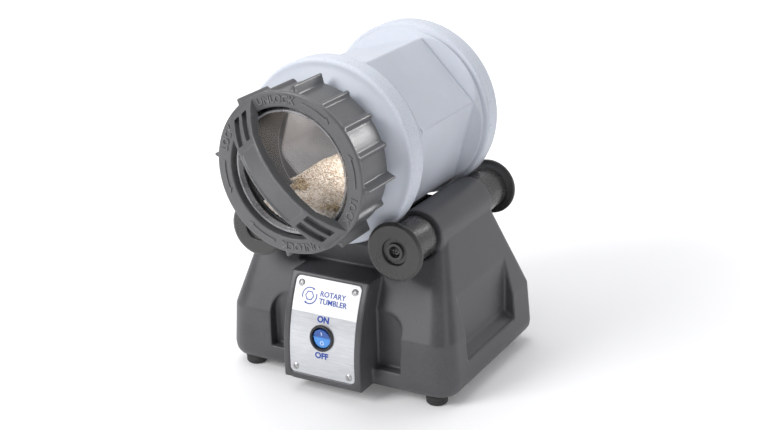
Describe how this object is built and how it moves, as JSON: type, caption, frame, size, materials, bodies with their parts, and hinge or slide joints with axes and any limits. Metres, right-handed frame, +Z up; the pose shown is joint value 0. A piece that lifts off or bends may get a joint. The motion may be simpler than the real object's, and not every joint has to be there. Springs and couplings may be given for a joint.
{
  "type": "rotary rock tumbler",
  "caption": "Rotary rock tumbler: a hexagonal drum with a windowed screw lid lies on motor-driven flanged rollers above a moulded base with a rocker switch.",
  "frame": {"origin": "centre of the whole outline on the surface that the feet stand on", "axes": "+Z up, -Y towards the control panel and the lid, +X to the right as seen from the front; the drum axis runs along Y"},
  "size_m": [0.226, 0.2618, 0.294],
  "materials": {
    "base_plastic": "matt charcoal moulding with a fine grain",
    "cover_plastic": "matt black moulding",
    "foot_rubber": "matt black rubber",
    "screw_steel": "zinc-plated steel",
    "plate_metal": "fine brushed silver with a white upper band",
    "switch_black": "satin black",
    "rocker_blue": "glossy translucent blue",
    "terminal_brass": "bare brass",
    "gland_black": "matt black",
    "motor_steel": "drawn zinc-plated steel",
    "motor_plastic": "matt black moulding",
    "gearbox_alloy": "die-cast alloy",
    "bracket_steel": "bent zinc-plated sheet",
    "shaft_steel": "ground steel bar",
    "pulley_plastic": "black moulding",
    "belt_rubber": "matt black rubber",
    "bush_bronze": "sintered bronze",
    "roller_plastic": "satin black moulding",
    "sleeve_rubber": "matt black rubber",
    "clip_steel": "dark spring steel",
    "drum_plastic": "light blue-grey moulding with a fine grain",
    "liner_rubber": "dark grey rubber",
    "lid_plastic": "dark warm grey moulding",
    "window_clear": "clear polycarbonate",
    "gasket_rubber": "matt black rubber",
    "media_ceramic": "loose pale ceramic grains with brass-coloured pieces"
  },
  "bodies": {
    "base": {"base_housing": "base_plastic", "bottom_cover": "cover_plastic", "cover_screws": "screw_steel", "feet": "foot_rubber", "foot_screws": "screw_steel", "control_plate": "plate_metal", "plate_screws": "screw_steel", "switch_body": "switch_black", "switch_terminals": "terminal_brass", "cable_gland": "gland_black", "gland_nut": "gland_black", "motor_can": "motor_steel", "motor_end_cap": "motor_plastic", "motor_gearbox": "gearbox_alloy", "motor_bracket": "bracket_steel", "motor_screws": "screw_steel", "bracket_screws": "screw_steel", "drive_belt": "belt_rubber", "drive_bushes": "bush_bronze", "idler_bushes": "bush_bronze"},
    "rocker": {"switch_rocker": "rocker_blue"},
    "rotor": {"rotor_shaft": "shaft_steel", "cooling_fan": "motor_plastic"},
    "output": {"output_shaft": "shaft_steel", "motor_pulley": "pulley_plastic"},
    "drive_roller": {"drive_shaft": "shaft_steel", "drive_front_roller": "roller_plastic", "drive_rear_roller": "roller_plastic", "drive_sleeves": "sleeve_rubber", "drive_shaft_clips": "clip_steel", "drive_roller_screws": "screw_steel", "roller_pulley": "pulley_plastic"},
    "idler_roller": {"idler_shaft": "shaft_steel", "idler_front_roller": "roller_plastic", "idler_rear_roller": "roller_plastic", "idler_sleeves": "sleeve_rubber", "idler_shaft_clips": "clip_steel", "idler_roller_screws": "screw_steel"},
    "load": {"tumbling_media": "media_ceramic"},
    "drum": {"drum_shell": "drum_plastic", "drum_liner": "liner_rubber"},
    "lens": {"lid_window": "window_clear", "lid_gasket": "gasket_rubber"},
    "lid": {"lid_ring": "lid_plastic"}
  },
  "joints": [
    {"name": "drum_lift", "type": "slide", "parent": "base", "child": "load", "axis": [0, 0, 1], "range_m": [0, 0.12]},
    {"name": "drum_spin", "type": "hinge", "parent": "load", "child": "drum", "pos_m": [0, 0.03885, 0.214], "axis": [0, 1, 0], "continuous": true},
    {"name": "lid_travel", "type": "slide", "parent": "drum", "child": "lens", "axis": [0, -1, 0], "range_m": [0, 0.05]},
    {"name": "lid_unscrew", "type": "hinge", "parent": "lens", "child": "lid", "pos_m": [0, -0.07615, 0.214], "axis": [0, -1, 0], "range_deg": [0, 1800]},
    {"name": "drive_spin", "type": "hinge", "parent": "base", "child": "drive_roller", "pos_m": [0.067, 0.03885, 0.14139], "axis": [0, 1, 0], "continuous": true},
    {"name": "idler_spin", "type": "hinge", "parent": "base", "child": "idler_roller", "pos_m": [-0.067, 0.03885, 0.14139], "axis": [0, 1, 0], "continuous": true},
    {"name": "output_spin", "type": "hinge", "parent": "base", "child": "output", "pos_m": [-0.006, 0.04885, 0.069], "axis": [0, 1, 0], "continuous": true},
    {"name": "rotor_spin", "type": "hinge", "parent": "base", "child": "rotor", "pos_m": [-0.006, 0.01885, 0.069], "axis": [0, 1, 0], "continuous": true},
    {"name": "switch_rock", "type": "hinge", "parent": "base", "child": "rocker", "pos_m": [0, -0.06156, 0.0548], "axis": [-1, 0, 0], "range_deg": [0, 20]}
  ],
  "couplings": [
    {"joint": "lid_travel", "follows": "lid_unscrew", "m_per_rad": 0.0015915},
    {"joint": "drive_spin", "follows": "drum_spin", "ratio": -4.3243},
    {"joint": "idler_spin", "follows": "drum_spin", "ratio": -4.3243},
    {"joint": "output_spin", "follows": "drum_spin", "ratio": -7.7592},
    {"joint": "rotor_spin", "follows": "drum_spin", "ratio": -46.556}
  ]
}
